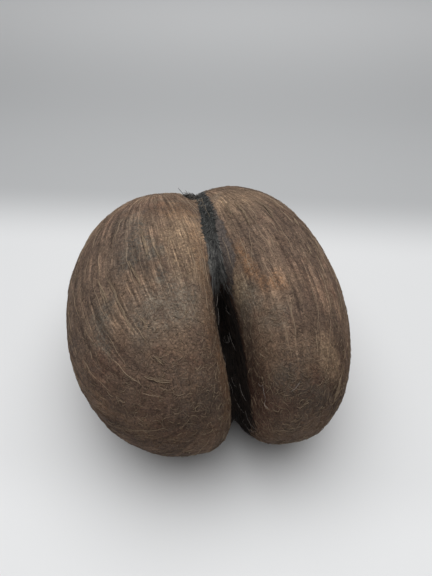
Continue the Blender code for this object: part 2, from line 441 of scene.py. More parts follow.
def turned(vectors, axes, angles):
    """Vectors turned about the axes that they stand square to."""
    angles = np.asarray(angles)[..., None]
    return vectors * np.cos(angles) + np.cross(axes, vectors) * np.sin(angles)


def laid_flat(vectors, ups):
    """Unit vectors in the plane of the skin."""
    along = np.sum(vectors * ups, axis=-1, keepdims=True)
    return unit(vectors - ups * along)


# Where things lie on the nut

def valley_x(y):
    """Where the cleft runs, seen from above."""
    return VALLEY_X + VALLEY_BEND * (y / VALLEY_REACH) ** 2


def lobe_places(places):
    """Where points lie on their lobe.

    Gives the way round it, a mark that is nearly even along a fibre and changes across,
    and how far round the lobe and how far along it each point lies.
    """
    on_left = places[:, 0] < valley_x(places[:, 1])
    around = np.zeros_like(places)
    mark = np.zeros_like(places)
    turn = np.zeros(len(places))
    length = np.zeros(len(places))
    for number, lobe in enumerate((LEFT_LOBE, RIGHT_LOBE)):
        mine = on_left if number == 0 else ~on_left
        tip = np.array(lobe.tip)
        axis = unit(np.array(lobe.far) - tip)
        arm = places[mine] - tip
        run = arm @ axis
        radial = unit(arm - run[:, None] * axis)
        side = unit(np.cross(axis, (0.0, 0.0, 1.0)))
        top = np.cross(side, axis)
        around[mine] = np.cross(axis, radial)
        mark[mine] = radial * GRAIN_RADIUS + axis * (run * GRAIN_SHORTENING)[:, None]
        mark[mine] += number * GRAIN_LOBE_STEP
        turn[mine] = np.arctan2(radial @ side, radial @ top) + number * 2 * math.pi
        length[mine] = run
    return around, mark, turn, length


def grain(places, ups):
    """The way that the fibres run, from the joined end to the tips."""
    return laid_flat(np.cross(lobe_places(places)[0], ups), ups)


def swirl(places):
    """1 round a lobe's tip, where the fibres lie every way, less at its far end and 0 elsewhere."""
    def nearest(end):
        ends = [np.array(getattr(lobe, end)) for lobe in (LEFT_LOBE, RIGHT_LOBE)]
        return np.min([np.linalg.norm(places - place, axis=1) for place in ends], axis=0)

    at_tips = 1 - ease(nearest("tip"), SWIRL_NEAR, SWIRL_FAR)
    at_far_ends = 1 - ease(nearest("far"), FAR_SWIRL_NEAR, FAR_SWIRL_FAR)
    return np.maximum(at_tips, FAR_SWIRL * at_far_ends)


def hollow(places):
    """1 deep between the lobe tips and 0 on the open husk."""
    x, y, z = places.T
    aside = (x - valley_x(y)) / settings("fibres").hollow_half_width
    rim_z, slope, softness, softening, reach = (
        np.where(aside < 0, left, right) for left, right in zip(HOLLOW_LEFT, HOLLOW_RIGHT)
    )
    towards_tips = HOLLOW_RIM_Y - y
    softness = softness + softening * np.maximum(towards_tips, 0.0)
    below = 1 - ease((z - rim_z + slope * towards_tips) / softness, 0.0, 1.0)
    parted = 1 - ease(y, HOLLOW_FULL_Y, HOLLOW_START_Y)
    behind = ease((y - HOLLOW_FRONT_Y) / HOLLOW_FRONT_SOFTNESS, -0.5, 0.5)
    inside = 1 - ease(np.abs(aside) / reach, *HOLLOW_SIDE_EDGE)
    return below * parted * behind * inside * ease(z, HOLLOW_FOOT, HOLLOW_FULL_Z)


def band(places, right="right"):
    """How far a point lies from the line in the cleft, where 1 is the edge of the dark band.

    With right="plum", 1 is the edge of its border on the right.
    """
    x, y, z = places.T
    aside = x - valley_x(y)
    table = {side: [getattr(edge, side) for edge in BAND_EDGES] for side in ("y", "left", right)}
    reach = {side: np.interp(y, table["y"], table[side]) for side in ("left", right)}
    width = np.where(aside < 0, reach["left"], reach[right])
    shrink = BAND_FOOT_SHARE + (1 - BAND_FOOT_SHARE) * ease(z, BAND_FADE_FOOT, BAND_FADE_TOP)
    return np.abs(aside) / (width * shrink)


# Meshes

def read_vectors(items, field):
    """One vector field of all of a mesh's points."""
    flat = np.empty(len(items) * 3, np.float32)
    items.foreach_get(field, flat)
    return flat.reshape(-1, 3).astype(float)


def write_attribute(mesh, name, values):
    """Keeps a number or a vector on each point of a mesh."""
    vector = values.ndim == 2
    attribute = mesh.attributes.new(name, "FLOAT_VECTOR" if vector else "FLOAT", "POINT")
    attribute.data.foreach_set("vector" if vector else "value", values.astype(np.float32).ravel())


def add_piece(name, mesh):
    """A new object in the scene."""
    piece = bpy.data.objects.new(name, mesh)
    bpy.context.scene.collection.objects.link(piece)
    return piece


def apply_modifiers(piece, stack):
    """Puts modifiers on a piece and keeps their result as its mesh."""
    for kind, values in stack:
        modifier = piece.modifiers.new(kind.lower(), kind)
        for name, value in values.items():
            setattr(modifier, name, value)
    result = bpy.data.meshes.new_from_object(piece.evaluated_get(bpy.context.evaluated_depsgraph_get()))
    piece.modifiers.clear()
    piece.data = result


def mark_places(mesh, places):
    """Keeps on a mesh where its points lie on the lobes and in the cleft."""
    write_attribute(mesh, "grain", lobe_places(places)[1])
    write_attribute(mesh, "swirl", swirl(places))
    write_attribute(mesh, "band", band(places))
    write_attribute(mesh, "plum", band(places, "plum"))
    write_attribute(mesh, "hollow", hollow(places))


def finish_piece(piece, material):
    """Gives a piece its material and its place in the part."""
    piece.data.materials.clear()
    piece.data.materials.append(material)
    piece.data.shade_smooth()
    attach(piece, BODY)


class Surface:
    """The husk's skin, for laying fibres on."""

    def __init__(self):
        skin = bpy.data.objects[SKIN]
        self.tree = BVHTree.FromObject(skin, bpy.context.evaluated_depsgraph_get())
        self.points = read_vectors(skin.data.vertices, "co")

    def press(self, places):
        """The nearest points of the skin, with its direction outwards there."""
        found = [self.tree.find_nearest(place) for place in places.tolist()]
        return np.array([tuple(hit[0]) for hit in found]), np.array([tuple(hit[1]) for hit in found])

    def drop(self, places):
        """The points of the skin straight below, with its direction outwards there."""
        found = [self.tree.ray_cast(place, (0.0, 0.0, -1.0)) for place in places.tolist()]
        return np.array([tuple(hit[0]) for hit in found]), np.array([tuple(hit[1]) for hit in found])

    def walk(self, roots, toward, lean, steps, stride):
        """Paths that creep over the skin: their points and the skin's outward directions.

        toward(places, ups) is the way that they go, and lean(step) how far each turns from it.
        """
        places, ups = self.press(roots)
        path, lifts = [places], [ups]
        for step in range(steps):
            ahead = laid_flat(turned(toward(places, ups), ups, lean(step)), ups)
            places, ups = self.press(places + ahead * stride[:, None])
            path.append(places)
            lifts.append(ups)
        return np.stack(path, axis=1), np.stack(lifts, axis=1)


def down_the_cleft(places, ups):
    """The way from the joined end down the cleft to the tips."""
    along = np.cross((1.0, 0.0, 0.0), ups)
    return laid_flat(along + np.array((0.0, -1.0, -0.4)) * (ups[:, :1] ** 2), ups)


def bent(slants, curls):
    """Paths that lean by a slant and turn further by a curl at each step."""
    return lambda step: slants + curls * step


def arched(path, lifts, base, heights):
    """Paths raised off the skin, most of all in their middle."""
    arch = np.sin(np.linspace(0.0, math.pi, path.shape[1]))
    return path + lifts * (base + arch * heights)[..., None]


def rod(segments, sides):
    """A closed rod one unit long, cut across into segments."""
    bm = bmesh.new()
    bmesh.ops.create_cone(
        bm, cap_ends=True, cap_tris=False, segments=sides, radius1=1.0, radius2=1.0, depth=1.0
    )
    lengthwise = [edge for edge in bm.edges if abs(edge.verts[0].co.z - edge.verts[1].co.z) > 0.5]
    bmesh.ops.subdivide_edges(bm, edges=lengthwise, cuts=segments - 1, use_grid_fill=True)
    bmesh.ops.translate(bm, verts=bm.verts, vec=(0.0, 0.0, 0.5))
    mesh = bpy.data.meshes.new("rod")
    bm.to_mesh(mesh)
    bm.free()
    return mesh


def lay_fibres(name, path, lifts, radii, tones, material, sides=3, blunt=0.15):
    """A piece of many fibres, each a closed rod that tapers to both ends along its path."""
    count, rings = path.shape[:2]
    piece = add_piece(name, rod(rings - 1, sides))
    apply_modifiers(piece, [("ARRAY", {"count": count, "use_relative_offset": False})])
    template = read_vectors(piece.data.vertices, "co").reshape(count, -1, 3)
    ring = np.rint(template[0, :, 2] * (rings - 1)).astype(int)
    across, upward = template[0, :, 0], template[0, :, 1]
    ahead = unit(np.gradient(path, axis=1))
    side = unit(np.cross(lifts, ahead))
    up = np.cross(ahead, side)
    share = np.linspace(-1.0, 1.0, rings)
    girth = radii[:, None] * (blunt + (1 - blunt) * (1 - share ** 4))
    places = (
        path[:, ring]
        + side[:, ring] * (across * girth[:, ring])[..., None]
        + up[:, ring] * (upward * girth[:, ring])[..., None]
    ).reshape(-1, 3)
    places = np.clip(places, *np.array(CAD_BOX))
    piece.data.vertices.foreach_set("co", places.astype(np.float32).ravel())
    write_attribute(piece.data, "tone", np.repeat(tones, len(ring)))
    mark_places(piece.data, places)
    piece.data.update()
    finish_piece(piece, material)
    return piece


# Materials

class Wiring:
    """A node tree being wired up."""

    def __init__(self, tree):
        self.tree = tree

    def node(self, kind, inputs=None, **values):
        """Adds a node and sets or joins its inputs."""
        made = self.tree.nodes.new(kind)
        for name, value in values.items():
            setattr(made, name, value)
        for key, value in (inputs or {}).items():
            if isinstance(value, bpy.types.NodeSocket):
                self.join(value, made, key)
            else:
                made.inputs[key].default_value = value
        return made

    def join(self, socket, node, key):
        """Joins an output to a node's input."""
        self.tree.links.new(socket, node.inputs[key])

    def math(self, what, a, b=0.0):
        """One Math node."""
        return self.node("ShaderNodeMath", {0: a, 1: b}, operation=what).outputs[0]

    def plus(self, a, b):
        """The sum of two values."""
        return self.math("ADD", a, b)

    def minus(self, a, b):
        """The difference of two values."""
        return self.math("SUBTRACT", a, b)

    def times(self, a, b):
        """The product of two values."""
        return self.math("MULTIPLY", a, b)

    def vector(self, what, a, b=(0.0, 0.0, 0.0), output="Vector"):
        """One Vector Math node."""
        return self.node("ShaderNodeVectorMath", {0: a, 1: b}, operation=what).outputs[output]

    def step(self, value, low, high, least=0.0, most=1.0):
        """Brings a value softly between two limits."""
        inputs = {"Value": value, "From Min": low, "From Max": high, "To Min": least, "To Max": most}
        return self.node("ShaderNodeMapRange", inputs, interpolation_type="SMOOTHSTEP").outputs[0]

    def mix(self, share, a, b, blend="MIX"):
        """Mixes two colours."""
        inputs = {0: share, 6: a, 7: b}
        return self.node("ShaderNodeMix", inputs, data_type="RGBA", blend_type=blend).outputs[2]

    def relief(self, colour, lights, lit, darks, shaded):
        """Brings a colour towards its lit tint where lights are, and its shaded tint in the darks."""
        bright = self.mix(1.0, colour, paint(lit), "MULTIPLY")
        dim = self.mix(1.0, colour, paint(shaded), "MULTIPLY")
        return self.mix(darks, self.mix(lights, colour, bright), dim)

    def noise(self, vector, size, detail=2.0, distortion=0.0):
        """Noise with clouds of one size, in metres."""
        inputs = {"Vector": vector, "Scale": 1 / size, "Detail": detail, "Distortion": distortion}
        return self.node("ShaderNodeTexNoise", inputs).outputs["Fac"]

    def lines(self, vector, size, width, detail=2.0, distortion=0.0):
        """Thin lines where noise passes through its middle."""
        noise_value = self.noise(vector, size, detail, distortion)
        return self.step(self.math("ABSOLUTE", self.minus(noise_value, 0.5)), width, 0.0)

    def attribute(self, name, output="Fac"):
        """What is kept on the mesh under a name."""
        return self.node("ShaderNodeAttribute", attribute_name=name).outputs[output]


def new_group(name, inputs, outputs):
    """An empty node group: its wiring, its inputs and its output node."""
    tree = bpy.data.node_groups.new(name, "ShaderNodeTree")
    for way, sockets in (("INPUT", inputs), ("OUTPUT", outputs)):
        for label, kind in sockets.items():
            tree.interface.new_socket(name=label, in_out=way, socket_type="NodeSocket" + kind)
    wiring = Wiring(tree)
    return wiring, wiring.node("NodeGroupInput").outputs, wiring.node("NodeGroupOutput")


def stain_group():
    """A patch with a ragged edge round one place."""
    inputs = {"Place": "Vector", "Centre": "Vector", "Spread": "Vector", "Strength": "Float"}
    wiring, entry, exit_node = new_group("husk_stain", inputs, {"Mask": "Float"})
    offset = wiring.vector("SUBTRACT", entry["Place"], entry["Centre"])
    reach = wiring.vector("LENGTH", wiring.vector("DIVIDE", offset, entry["Spread"]), output="Value")
    ragged = wiring.noise(entry["Place"], STAIN_EDGE, detail=3.0)
    reach = wiring.plus(reach, wiring.times(wiring.minus(ragged, 0.5), 1.6))
    mottle = wiring.step(wiring.noise(entry["Place"], STAIN_MOTTLE, detail=3.0), 0.35, 0.65, 0.25, 1.0)
    mask = wiring.times(wiring.step(reach, 1.3, 0.3), mottle)
    wiring.join(wiring.times(mask, entry["Strength"]), exit_node, "Mask")
    return wiring.tree


def paint(colour):
    """A colour as a node's colour."""
    return (*colour, 1.0)


def clouded(wiring, place):
    """Brown husk with clouds, with painted shade low in front, partly the lower husk's darker brown."""
    husk = settings("husk")
    colour = paint(husk.brown)
    for cloud_kind in CLOUDS:
        shifted = wiring.vector("ADD", place, cloud_kind.shift)
        clouds = wiring.noise(shifted, cloud_kind.size, detail=cloud_kind.detail)
        mask = wiring.step(clouds, cloud_kind.begins, cloud_kind.fills, 0.0, cloud_kind.share)
        colour = wiring.mix(mask, colour, paint(getattr(husk, cloud_kind.colour)))
    # Painted shade low in front, a little less at the very bottom, where the floor lights the rim
    lowness = wiring.vector("DOT_PRODUCT", place, LOW_FRONT, output="Value")
    low = wiring.minus(wiring.step(lowness, -0.06, 0.03), wiring.step(lowness, 0.040, 0.075, 0.0, 0.25))
    return wiring.mix(low, colour, paint(PAINTED_LOW_SHADE), "MULTIPLY")


def stained(wiring, place, colour):
    """The husk with its patches of another colour."""
    stain = stain_group()
    for patch in STAINS:
        inputs = {
            "Place": place, "Centre": patch.centre, "Spread": patch.spread, "Strength": patch.strength,
        }
        mask = wiring.node("ShaderNodeGroup", inputs, node_tree=stain).outputs["Mask"]
        colour = wiring.mix(mask, colour, paint(getattr(settings("husk"), patch.colour)))
    return colour


def banded(wiring, entry, colour):
    """The husk with the dark band in the cleft, its border and the hollow."""
    husk = settings("husk")
    place = entry["Place"]
    ragged = wiring.times(wiring.minus(wiring.noise(place, RAGGED_EDGE, detail=3.0), 0.5), 0.9)
    border = wiring.step(wiring.plus(entry["Plum"], ragged), 1.15, 0.90)
    colour = wiring.mix(border, colour, paint(husk.plum))
    along = wiring.node("ShaderNodeSeparateXYZ", {0: place}).outputs["Y"]
    # The band turns to slate near the hollow: partly grey fibres, partly painted light against the valley's
    # shade
    dark = wiring.mix(wiring.step(along, 0.012, -0.015), paint(husk.charcoal), paint(husk.slate_and_painted_light))
    colour = wiring.mix(wiring.step(wiring.plus(entry["Band"], ragged), 1.15, 0.85), colour, dark)
    # Deep in the hollow, bark brown then near black: painted shade, partly black fibres
    depth = wiring.plus(entry["Hollow"], wiring.times(ragged, 0.3))
    colour = wiring.mix(wiring.step(depth, 0.05, 0.50), colour, paint(husk.bark_and_shade))
    return wiring.mix(wiring.step(depth, 0.50, 0.90), colour, paint(husk.black_fibres_and_shade))


def tones_group():
    """The husk's colour at each place before its single fibres, and its streaks."""
    inputs = {"Place": "Vector", "Grain": "Vector"}
    inputs.update(dict.fromkeys(("Swirl", "Band", "Plum", "Hollow"), "Float"))
    outputs = {"Colour": "Color", "Streak": "Float", "Straight": "Float"}
    wiring, entry, exit_node = new_group("husk_tones", inputs, outputs)
    place = entry["Place"]
    colour = stained(wiring, place, clouded(wiring, place))
    straight = wiring.minus(1.0, wiring.times(entry["Swirl"], SWIRL_CALM))
    streak = wiring.noise(entry["Grain"], STREAK, detail=3.0)
    broken = wiring.step(wiring.noise(place, LINE_BREAK), 0.42, 0.58)
    pale_lines = wiring.times(wiring.lines(entry["Grain"], PALE_LINE, 0.055, detail=1.0), broken)
    lights = wiring.times(wiring.plus(pale_lines, wiring.step(streak, 0.52, 0.66, 0.0, 0.40)), straight)
    darks = wiring.times(wiring.step(streak, 0.48, 0.34, 0.0, 0.75), straight)
    colour = wiring.relief(colour, lights, LIT_STREAK, darks, SHADED_STREAK)
    wiring.join(banded(wiring, entry, colour), exit_node, "Colour")
    wiring.join(streak, exit_node, "Streak")
    wiring.join(straight, exit_node, "Straight")
    return wiring.tree


def new_material(name, roughness, specular):
    """A material: its wiring and its shader."""
    material = bpy.data.materials.new(name)
    material.use_nodes = True
    shader = material.node_tree.nodes["Principled BSDF"]
    shader.inputs["Roughness"].default_value = roughness
    shader.inputs["Specular IOR Level"].default_value = specular
    return material, Wiring(material.node_tree), shader


def husk_tones(wiring):
    """The husk's tones in a material: the group's outputs and the place that they are read at."""
    place = wiring.node("ShaderNodeTexCoord").outputs["Object"]
    marks = {label: wiring.attribute(label.lower()) for label in ("Swirl", "Band", "Plum", "Hollow")}
    marks["Grain"] = wiring.attribute("grain", "Vector")
    tree = bpy.data.node_groups.get("husk_tones") or tones_group()
    return wiring.node("ShaderNodeGroup", {"Place": place, **marks}, node_tree=tree).outputs, place


def skin_material():
    """Felted brown husk with lengthwise streaks."""
    material, wiring, shader = new_material("felted_husk", roughness=0.85, specular=0.25)
    tones, place = husk_tones(wiring)
    fine_streak = wiring.noise(wiring.attribute("grain", "Vector"), FINE_STREAK)
    felt = wiring.noise(place, FELT, detail=3.0, distortion=1.0)
    fleck = wiring.noise(place, FLECK, distortion=0.5)
    curl_lines = wiring.lines(place, CURL, 0.030, distortion=2.5)
    lights = wiring.times(wiring.step(fine_streak, 0.5, 0.65, 0.0, 0.35), tones["Straight"])
    lights = wiring.plus(lights, wiring.times(curl_lines, 0.35))
    lights = wiring.plus(lights, wiring.step(felt, 0.50, 0.68, 0.0, 0.40))
    lights = wiring.plus(lights, wiring.step(fleck, 0.54, 0.66, 0.0, 0.70))
    darks = wiring.step(felt, 0.48, 0.34, 0.0, 0.40)
    darks = wiring.plus(darks, wiring.step(fleck, 0.46, 0.34, 0.0, 0.40))
    wiring.join(wiring.relief(tones["Colour"], lights, LIT_FELT, darks, SHADED_FELT), shader, "Base Color")
    height = wiring.plus(wiring.times(tones["Streak"], tones["Straight"]), wiring.times(felt, 0.9))
    height = wiring.plus(height, wiring.times(fleck, 0.5))
    bump = wiring.node("ShaderNodeBump", {"Height": height, "Strength": 0.8, "Distance": 0.0014})
    wiring.join(bump.outputs["Normal"], shader, "Normal")
    return material


def fibre_material(name, pale_share, dark_share):
    """Single fibres: the husk's tone, lighter or darker from one fibre to the next."""
    material, wiring, shader = new_material(name, roughness=0.75, specular=0.3)
    tones, place = husk_tones(wiring)
    tone = wiring.attribute("tone")
    straw = paint(settings("husk").straw)
    colour = wiring.mix(wiring.step(tone, 0.0, 1.0, 0.0, pale_share), tones["Colour"], straw)
    shaded = wiring.mix(1.0, colour, paint(SHADED_FIBRE), "MULTIPLY")
    colour = wiring.mix(wiring.step(tone, 0.0, -1.0, 0.0, dark_share), colour, shaded)
    wiring.join(colour, shader, "Base Color")
    return material


def dark_fibre_material(name, dark, pale):
    """Dark fibres, a few of them paler."""
    material, wiring, shader = new_material(name, roughness=0.7, specular=0.2)
    place = wiring.node("ShaderNodeTexCoord").outputs["Object"]
    mottle = wiring.step(wiring.noise(place, DARK_MOTTLE), 0.4, 0.7, 0.0, 0.35)
    share = wiring.plus(wiring.step(wiring.attribute("tone"), -1.0, 1.0, 0.0, 0.8), mottle)
    wiring.join(wiring.mix(share, paint(dark), paint(pale)), shader, "Base Color")
    return material


# Operators

class NUT_OT_husk_skin(bpy.types.Operator):
    """Makes the husk's skin over the nut"""

    bl_idname = "nut.husk_skin"
    bl_label = "Husk Skin"

    MERGE_GAP = 0.00001
    SMALL_LUMPS = 0.4
    LUMP_SHARE = 0.5
    RIDGE_SIZE = 0.0075
    RIDGE_SHARE = 0.18
    BELLY_TOP = 0.004
    GROUND_GAP = 0.0002

    def execute(self, context):
        husk = settings("husk")
        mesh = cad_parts[NODE].data.copy()
        bm = bmesh.new()
        bm.from_mesh(mesh)
        bmesh.ops.remove_doubles(bm, verts=bm.verts, dist=self.MERGE_GAP)
        bm.to_mesh(mesh)
        bm.free()
        skin = add_piece(SKIN, mesh)
        apply_modifiers(skin, [
            ("SUBSURF", {"levels": 1, "render_levels": 1}),
            ("REMESH", {"mode": "VOXEL", "voxel_size": husk.skin_cell}),
            ("SMOOTH", {"factor": 0.5, "iterations": 10}),
        ])
        self.raise_lumps(skin.data, husk)
        mark_places(skin.data, read_vectors(skin.data.vertices, "co"))
        finish_piece(skin, skin_material())
        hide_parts(NODE)
        return {"FINISHED"}

    def raise_lumps(self, mesh, husk):
        """Sinks the skin a little under its fibres and gives it shallow lumps and ridges."""
        places = read_vectors(mesh.vertices, "co")
        ups = read_vectors(mesh.vertices, "normal")
        lumps = cloud(places, husk.lump_size, 1) + self.SMALL_LUMPS * cloud(places, husk.lump_size / 3, 2)
        ridges = cloud(lobe_places(places)[1], self.RIDGE_SIZE, 3) * (1 - swirl(places))
        rise = husk.lump_height * (self.LUMP_SHARE * lumps + self.RIDGE_SHARE * ridges) - husk.inset
        rise = np.minimum(rise, -husk.inset / 2)
        rise = np.where(places[:, 2] < self.BELLY_TOP, -husk.inset / 2, rise)
        places = places + ups * rise[:, None]
        places[:, 2] = np.maximum(places[:, 2], self.GROUND_GAP)
        mesh.vertices.foreach_set("co", places.astype(np.float32).ravel())
        mesh.update()


class NUT_OT_ridge_fibres(bpy.types.Operator):
    """Lays the lengthwise ridges of the husk"""

    bl_idname = "nut.ridge_fibres"
    bl_label = "Ridge Fibres"

    STEPS = 14
    PALE_SHARE = 0.3
    WANDER = 0.10
    SWAY = 0.14
    SWAY_PER_STEP = 0.9
    SWIRL_THINNING = 0.9
    SWIRL_SHORTENING = 0.75
    STAGGER = (12.9898, 43758.5453)

    def execute(self, context):
        fibres = settings("fibres")
        rng = np.random.default_rng(11)
        surface = Surface()
        roots = self.roots(surface, fibres, rng)
        count = len(roots)
        stride = fibres.ridge_length * rng.uniform(0.5, 1.2, count) / self.STEPS
        stride = stride * (1 - self.SWIRL_SHORTENING * swirl(roots))
        wander = rng.normal(0.0, self.WANDER, count)
        bend = rng.uniform(0.0, 2 * math.pi, count)

        def lean(step):
            return wander + self.SWAY * np.sin(bend + step * self.SWAY_PER_STEP)

        path, lifts = surface.walk(roots, grain, lean, self.STEPS, stride)
        pale = rng.random(count) < self.PALE_SHARE
        radii = fibres.ridge_radius * np.where(pale, 1.35, 0.75) * rng.uniform(0.7, 1.1, count)
        tones = np.where(pale, 0.8, -0.15) + rng.uniform(-0.3, 0.2, count)
        material = fibre_material("ridge_fibre", pale_share=0.60, dark_share=0.5)
        lay_fibres("ridge_fibres", path, lifts, radii, tones, material)
        return {"FINISHED"}

    def roots(self, surface, fibres, rng):
        """One place for each cell of a grid round and along the lobes, fewer in the swirls."""
        order = rng.permutation(len(surface.points))
        order = order[(band(surface.points) > 1.5)[order] & (hollow(surface.points) < 0.2)[order]]
        points = surface.points[order]
        turn, length = lobe_places(points)[2:]
        column = np.floor(turn * GRAIN_RADIUS / fibres.ridge_spacing)
        stagger = np.modf(np.abs(np.sin(column * self.STAGGER[0]) * self.STAGGER[1]))[0]
        row = np.floor(length / fibres.ridge_length + stagger)
        first = np.unique(np.stack([column, row], axis=1), axis=0, return_index=True)[1]
        roots = points[first]
        return roots[rng.random(len(roots)) > swirl(roots) * self.SWIRL_THINNING]


class NUT_OT_long_ridges(bpy.types.Operator):
    """Lays the few long pale ridges that stand out on top"""

    bl_idname = "nut.long_ridges"
    bl_label = "Long Ridges"

    STEPS = 20
    ABOVE_NUT = 0.25
    LOWEST = 0.0001
    HIGHEST = 0.0007
    CORNER_ROUNDING = 0.005
    SWAY = 0.0005
    SWAY_RATE = 300.0
    SHADOW_STRAND_ASIDE = 0.0013
    SPREAD = 0.0004

    def execute(self, context):
        rng = np.random.default_rng(15)
        surface = Surface()
        lines = np.concatenate([self.strands(np.array(corners), rng) for corners in LONG_RIDGES])
        high = np.full((*lines.shape[:2], 1), self.ABOVE_NUT)
        path, lifts = surface.drop(np.concatenate([lines, high], axis=2).reshape(-1, 3))
        path = path.reshape(-1, self.STEPS + 1, 3)
        lifts = lifts.reshape(-1, self.STEPS + 1, 3)
        count = len(path)
        # The first strands of each ridge are dark and low: painted shadow beside it
        dark = np.arange(count) % STRANDS_PER_RIDGE < SHADOW_STRANDS_PER_RIDGE
        heights = np.where(dark, self.LOWEST, rng.uniform(self.LOWEST, self.HIGHEST, count))
        path = path + lifts * heights[:, None, None]
        radii = settings("fibres").long_ridge_radius * rng.uniform(0.6, 1.1, count)
        tones = np.where(dark, -1.0, rng.uniform(0.3, 1.0, count))
        material = fibre_material("long_ridge", pale_share=0.70, dark_share=0.8)
        lay_fibres("long_ridges", path, lifts, radii, tones, material)
        return {"FINISHED"}

    def strands(self, corners, rng):
        """Long strands side by side along one ridge, seen from above; the dark ones beside it are its
        painted shadow.
        """
        run = np.concatenate([[0.0], np.cumsum(np.linalg.norm(np.diff(corners, axis=0), axis=1))])
        aside = unit(np.array((corners[-1, 1] - corners[0, 1], corners[0, 0] - corners[-1, 0])))
        count = STRANDS_PER_RIDGE
        begin = rng.uniform(-0.1, 0.45, (count, 1)) * run[-1]
        end = rng.uniform(0.55, 1.1, (count, 1)) * run[-1]
        share = begin + (end - begin) * np.linspace(0.0, 1.0, self.STEPS + 1)
        nudges = (-self.CORNER_ROUNDING, 0.0, self.CORNER_ROUNDING)
        line = np.stack([
            np.mean([np.interp(share + nudge, run, corners[:, axis]) for nudge in nudges], axis=0)
            for axis in (0, 1)
        ], axis=2)
        phase = rng.uniform(0.0, 2 * math.pi, (count, 1))
        sway = self.SWAY * np.sin(share * self.SWAY_RATE + phase)
        beside = np.where(np.arange(count) < SHADOW_STRANDS_PER_RIDGE, self.SHADOW_STRAND_ASIDE, 0.0)
        drift = rng.normal(beside, self.SPREAD)[:, None] + sway
        return line + aside * drift[..., None]


class NUT_OT_felt_fibres(bpy.types.Operator):
    """Lays the short curly fibres that felt the husk"""

    bl_idname = "nut.felt_fibres"
    bl_label = "Felt Fibres"

    STEPS = 4
    SLANT = 0.38
    SWIRL_SLANT = 0.9
    CURL = 0.32
    ARCH = 0.0003

    def execute(self, context):
        fibres = settings("fibres")
        surface = Surface()
        material = fibre_material("felt_fibre", pale_share=0.48, dark_share=0.60)
        open_husk = (band(surface.points) > 0.9) & (hollow(surface.points) < 0.5)
        on_left = surface.points[:, 0] < valley_x(surface.points[:, 1])
        for name, mine, seed in (
            ("felt_fibres_left", on_left, 21),
            ("felt_fibres_right", ~on_left, 22),
        ):
            rng = np.random.default_rng(seed)
            count = fibres.felt_count
            points = surface.points[mine & open_husk]
            roots = points[rng.integers(0, len(points), count)]
            stride = fibres.felt_length * rng.uniform(0.5, 1.5, count) / self.STEPS
            slant = rng.normal(0.0, 1.0, count) * (self.SLANT + self.SWIRL_SLANT * swirl(roots))
            curl = rng.normal(0.0, self.CURL, count)
            path, lifts = surface.walk(roots, grain, bent(slant, curl), self.STEPS, stride)
            heights = self.ARCH * rng.random((count, 1)) ** 2
            path = arched(path, lifts, fibres.felt_radius * 0.3, heights)
            radii = fibres.felt_radius * rng.uniform(0.6, 1.3, count)
            tones = rng.uniform(-0.55, 1.0, count)
            lay_fibres(name, path, lifts, radii, tones, material)
        return {"FINISHED"}


class NUT_OT_pale_curls(bpy.types.Operator):
    """Lays the thicker pale curly fibres, most of them round the lobe tips"""

    bl_idname = "nut.pale_curls"
    bl_label = "Pale Curls"

    STEPS = 6
    CALM_WEIGHT = 0.25
    SLANT = 0.30
    SWIRL_SLANT = 1.1
    CURL = 0.10
    SWIRL_CURLS = (-0.38, 0.0, 0.38)
    BASE = 0.0002
    ARCH = 0.0005

    def execute(self, context):
        fibres = settings("fibres")
        rng = np.random.default_rng(25)
        surface = Surface()
        points = surface.points[(band(surface.points, "plum") > 1.1) & (hollow(surface.points) < 0.3)]
        weight = self.CALM_WEIGHT + swirl(points)
        count = fibres.curl_count
        roots = points[rng.choice(len(points), count, p=weight / weight.sum())]
        stride = fibres.curl_length * rng.uniform(0.4, 1.5, count) / self.STEPS
        slant = rng.normal(0.0, 1.0, count) * (self.SLANT + self.SWIRL_SLANT * swirl(roots))
        curl = rng.normal(0.0, self.CURL, count) + rng.choice(self.SWIRL_CURLS, count) * swirl(roots)
        path, lifts = surface.walk(roots, grain, bent(slant, curl), self.STEPS, stride)
        path = arched(path, lifts, self.BASE, self.ARCH * rng.random((count, 1)))
        radii = fibres.curl_radius * rng.uniform(0.5, 1.15, count)
        tones = rng.uniform(0.0, 1.0, count)
        material = fibre_material("pale_curl", pale_share=0.70, dark_share=0.0)
        lay_fibres("pale_curls", path, lifts, radii, tones, material)
        return {"FINISHED"}


